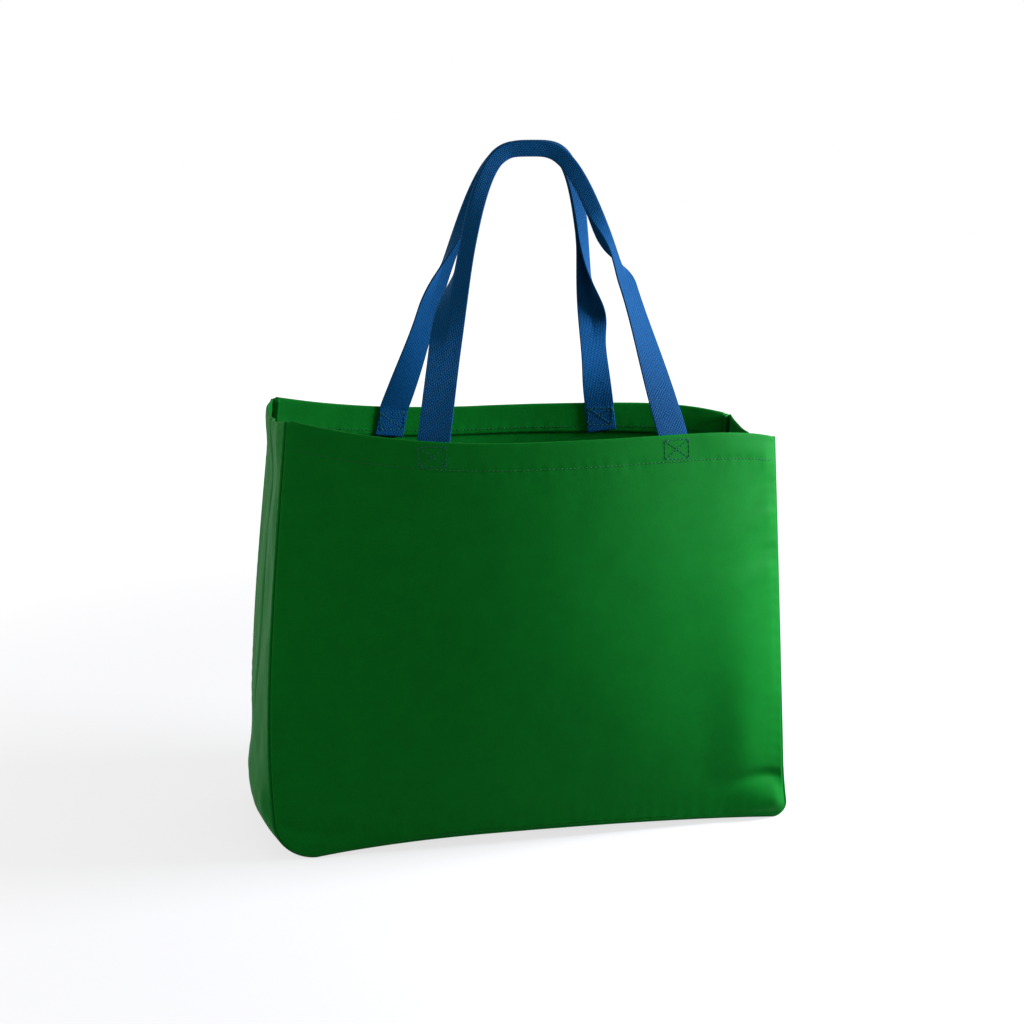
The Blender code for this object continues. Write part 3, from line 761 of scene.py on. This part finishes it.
# Thread
# Polyester sewing thread: a row of green lockstitches holds the hem, and a box with a cross in
# blue holds each strap's end. Every stitch is a short length of thread that dips into the cloth
# at both ends.
THREAD_RADIUS, THREAD_GIRTH = 0.00028, 0.002
STITCH_PITCH, STITCH_GAP = 0.0034, 0.0005
STITCH_SIDES, STITCH_RINGS = 6, 5
STITCH_TIP, TIP_RADIUS, STITCH_BOW, STITCH_SINK = 0.08, 0.55, 1.6, 0.7
HEM_SAMPLES, HEM_STITCH_INSET = 400, 1.6 * SEAM_TURN
BOX_WIDTH, BOX_HEIGHT, BOX_DROP = 0.0210, 0.0150, 0.0105
SQUARE_CORNERS = np.array([(-1, -1), (1, -1), (1, 1), (-1, 1)])
BOX_LINES, BOX_SAMPLES = ((0, 1), (1, 2), (2, 3), (3, 0), (0, 2), (1, 3)), 30
HEM_THREAD_GREEN = (0.002, 0.120, 0.028)
BOX_THREAD_BLUE = (0.004, 0.105, 0.085)


def stitches(name, ends, outward, material):
    """Short bowed tubes from each start to each end: the bow and the radius both follow half
    a sine, cut off a little before its ends."""
    ring = np.linspace(0, 1, STITCH_RINGS)[None, :, None]
    start, end = ends[:, 0][:, None], ends[:, 1][:, None]
    swell = np.sin(math.pi * (STITCH_TIP + (1 - 2 * STITCH_TIP) * ring))
    bow = THREAD_RADIUS * (STITCH_BOW * swell - STITCH_SINK)
    centre = start + (end - start) * ring + outward[:, None] * bow
    along = unit(end - start)
    sideways = unit(np.cross(along, outward[:, None]))
    upward = np.cross(sideways, along)
    angle = np.linspace(0, math.tau, STITCH_SIDES, endpoint=False)[None, None, :, None]
    around = np.cos(angle) * sideways[:, :, None] + np.sin(angle) * upward[:, :, None]
    radius = THREAD_RADIUS * (TIP_RADIUS + (1 - TIP_RADIUS) * swell)
    points = centre[:, :, None] + around * radius[..., None]
    girth = angle[..., 0] / math.tau * THREAD_GIRTH
    thread = Cutting()
    rows = thread.block(points, np.stack(np.broadcast_arrays(girth, ring * STITCH_PITCH), axis=-1))
    thread.join(np.concatenate([rows, rows[:, :, :1]], axis=2))
    for cap in (rows[:, 0], rows[:, -1]):
        thread.faces += [cap[:, [0, 1, 2, 3]], cap[:, [0, 3, 4, 5]]]
    return thread.make(name, material)


def stitch_ends(line):
    """Starts and ends of stitches of about one pitch along a line of points, a gap apart."""
    run = running_length(line)
    count = max(1, round(run[-1] / STITCH_PITCH))
    starts = np.linspace(0, run[-1], count + 1)[:-1]
    ends = starts + run[-1] / count - STITCH_GAP
    place = [[np.interp(at, run, line[:, axis]) for axis in range(3)] for at in (starts, ends)]
    return np.array(place).transpose(2, 0, 1)


def thread_finish(name, colour):
    """Twisted thread: slanted ridges round it, its colour painted lighter on the ridges and darker
    in the grooves between them as painted highlight and shade.
    """
    made, tree, shader = principled(name, roughness=0.48, specular=0.25)
    flat, *_ = flat_places(tree)
    twist = texture(tree, "ShaderNodeTexWave", flat,
                    bands_direction="DIAGONAL", Scale=520, Distortion=0.4)
    raise_surface(tree, shader, twist, strength=0.5, distance=0.00008)
    # The colour follows the twist's ridges: painted highlight on them and painted shade between
    # them.
    dye_with_painted_shade(tree, shader, twist, colour, dark=0.75, light=1.15)
    return made


def hem_line():
    """The hem's stitch line across a panel: its width, and its height a set drop below the rim."""
    left, right = reach(LEFT, rim_height(LEFT)), reach(RIGHT, rim_height(RIGHT))
    x = np.linspace(HEM_STITCH_INSET - left, right - HEM_STITCH_INSET, HEM_SAMPLES)
    return x, rim_height(rim_share(x)) - HEM_STITCH_DROP


hem_green = thread_finish("hem_thread_green", HEM_THREAD_GREEN)
box_blue = thread_finish("box_thread_blue", BOX_THREAD_BLUE)
for face, place in ((FRONT, "front"), (BACK, "back")):
    x, z = hem_line()
    inward = panel_inward(x, z, face)
    middle = cloth_point(x, z, face)
    pairs, ways = [], []
    for lift, way in ((-CLOTH / 2, -1), (HEM_FOLD + CLOTH / 2, 1)):
        ends = stitch_ends(middle + inward * lift)
        pairs.append(ends)
        nearest = np.searchsorted(x, ends[:, 0, 0]).clip(0, len(x) - 1)
        ways.append(inward[nearest] * way)
    row = stitches(f"hem_thread_{place}", np.concatenate(pairs), np.concatenate(ways), hem_green)
    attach(row, "root")

for face, place in ((FRONT, "front"), (BACK, "back")):
    for side, hand in ((LEFT, "left"), (RIGHT, "right")):
        rim_x, rim_z = handle_foot(face, side)
        centre = np.array([rim_x + side * HANDLE_SPLAY * BOX_DROP, rim_z - BOX_DROP])
        corner = centre + np.array([BOX_WIDTH, BOX_HEIGHT]) / 2 * SQUARE_CORNERS
        through = HEM_FOLD + CLOTH / 2 + SEWN_GAP + WEBBING_THICKNESS
        pairs, ways = [], []
        for a, b in BOX_LINES:
            share = np.linspace(0, 1, BOX_SAMPLES)[:, None]
            x, z = (corner[a] + share * (corner[b] - corner[a])).T
            inward = panel_inward(x, z, face)
            middle = cloth_point(x, z, face)
            for lift, way in ((-CLOTH / 2, -1), (through, 1)):
                ends = stitch_ends(middle + inward * lift)
                pairs.append(ends)
                ways.append(np.broadcast_to(inward[BOX_SAMPLES // 2] * way, (len(ends), 3)))
        box = stitches(f"box_thread_{place}_{hand}", np.concatenate(pairs),
                       np.concatenate(ways), box_blue)
        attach(box, "root")
        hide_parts(f"stitch_box_{place}_{hand}")

# Floor, backdrop, lamps and camera
# A white floor that keeps the bag's shadow, a broad soft lamp near the right front, a weak fill,
# and the camera to the left of the bag's front, a little above it.
CAMERA_AZIMUTH, CAMERA_ELEVATION = math.radians(12.6), math.radians(12.9)
CAMERA_DISTANCE, CAMERA_TARGET = 1.5, np.array([-0.0065, 0, 0.256])
LENS, SENSOR = 63.46, 36.0
WORLD_LIGHT = 0.35
FLOOR_REACH, FLOOR_GREY = 6.0, 0.34

# The floor's own glow: its level at the bag and far away, and the distances between which it rises
NEAR_GLOW, FAR_GLOW, GLOW_START, GLOW_FULL = 0.72, 1.0, 0.35, 1.6


def look_at(thing, place, target):
    """Puts a lamp or a camera at a place and points its -Z axis at the target."""
    thing.location = place
    way = np.asarray(target, float) - np.asarray(place, float)
    flat_way = math.hypot(way[0], way[1])
    thing.rotation_euler = (math.atan2(flat_way, -way[2]), 0, math.atan2(-way[0], way[1]))
    bpy.context.scene.collection.objects.link(thing)
    return thing


def soft_lamp(name, place, target, size, watts, colour):
    """A square area lamp that points at its target."""
    lamp = bpy.data.lights.new(name, "AREA")
    lamp.size = size
    lamp.color = colour
    lamp.energy = watts
    return look_at(bpy.data.objects.new(name, lamp), place, target)


def background_rays(tree):
    """One for the rays that show the background: the camera's, and those reflected or let
    through by the bag. Zero for the rest."""
    seen = add_node(tree, "ShaderNodeLightPath").outputs
    shown = math_node(tree, "MAXIMUM", seen["Is Camera Ray"], seen["Is Glossy Ray"])
    return math_node(tree, "MAXIMUM", shown, seen["Is Transmission Ray"])


soft_lamp("key_lamp", place=(0.75, -0.133, 0.48), target=(0.15, -0.09, 0.20),
          size=0.26, watts=11.0, colour=(0.98, 1.0, 1.25))
soft_lamp("fill_lamp", place=(-1.3, 0.0, 0.8), target=(-0.2, 0, 0.2),
          size=0.8, watts=2.2, colour=(1, 1, 1))

world = bpy.data.worlds.new("studio")
bpy.context.scene.world = world
world.use_nodes = True
world_tree = world.node_tree
background = world_tree.nodes["Background"]
level = math_node(world_tree, "MULTIPLY", background_rays(world_tree), 1 - WORLD_LIGHT)
level = math_node(world_tree, "ADD", level, WORLD_LIGHT)
world_tree.links.new(level, background.inputs["Strength"])
background.inputs["Color"].default_value = (1, 1, 1, 1)

floor_paper = bpy.data.materials.new("white_floor_paper")
floor_paper.use_nodes = True
floor_tree = floor_paper.node_tree
floor_tree.nodes.clear()
place = add_node(floor_tree, "ShaderNodeTexCoord").outputs["Object"]
distance = add_node(floor_tree, "ShaderNodeVectorMath", operation="LENGTH")
floor_tree.links.new(place, distance.inputs[0])
away = add_node(floor_tree, "ShaderNodeMapRange", interpolation_type="SMOOTHSTEP",
                From_Min=GLOW_START, From_Max=GLOW_FULL, To_Min=NEAR_GLOW, To_Max=FAR_GLOW)
floor_tree.links.new(distance.outputs["Value"], away.inputs["Value"])
glow_level = math_node(floor_tree, "MULTIPLY", away.outputs[0], background_rays(floor_tree))
glow = add_node(floor_tree, "ShaderNodeEmission")
floor_tree.links.new(glow_level, glow.inputs["Strength"])
paper = add_node(floor_tree, "ShaderNodeBsdfDiffuse", Color=(FLOOR_GREY,) * 3 + (1,))
both = add_node(floor_tree, "ShaderNodeAddShader")
out = add_node(floor_tree, "ShaderNodeOutputMaterial")
floor_tree.links.new(glow.outputs[0], both.inputs[0])
floor_tree.links.new(paper.outputs[0], both.inputs[1])
floor_tree.links.new(both.outputs[0], out.inputs["Surface"])

floor_mesh = bpy.data.meshes.new("floor")
floor_corners = [(x * FLOOR_REACH, y * FLOOR_REACH, 0) for x, y in SQUARE_CORNERS.tolist()]
floor_mesh.from_pydata(floor_corners, [], [(0, 1, 2, 3)])
floor_mesh.materials.append(floor_paper)
floor = bpy.data.objects.new("floor", floor_mesh)
bpy.context.scene.collection.objects.link(floor)

camera = bpy.data.cameras.new("camera")
camera.lens = LENS
camera.sensor_width = SENSOR
towards = np.array([-math.sin(CAMERA_AZIMUTH) * math.cos(CAMERA_ELEVATION),
                    -math.cos(CAMERA_AZIMUTH) * math.cos(CAMERA_ELEVATION),
                    math.sin(CAMERA_ELEVATION)])
camera_object = look_at(bpy.data.objects.new("camera", camera),
                        CAMERA_TARGET + towards * CAMERA_DISTANCE, CAMERA_TARGET)
bpy.context.scene.camera = camera_object
bpy.context.scene.view_settings.view_transform = "Standard"
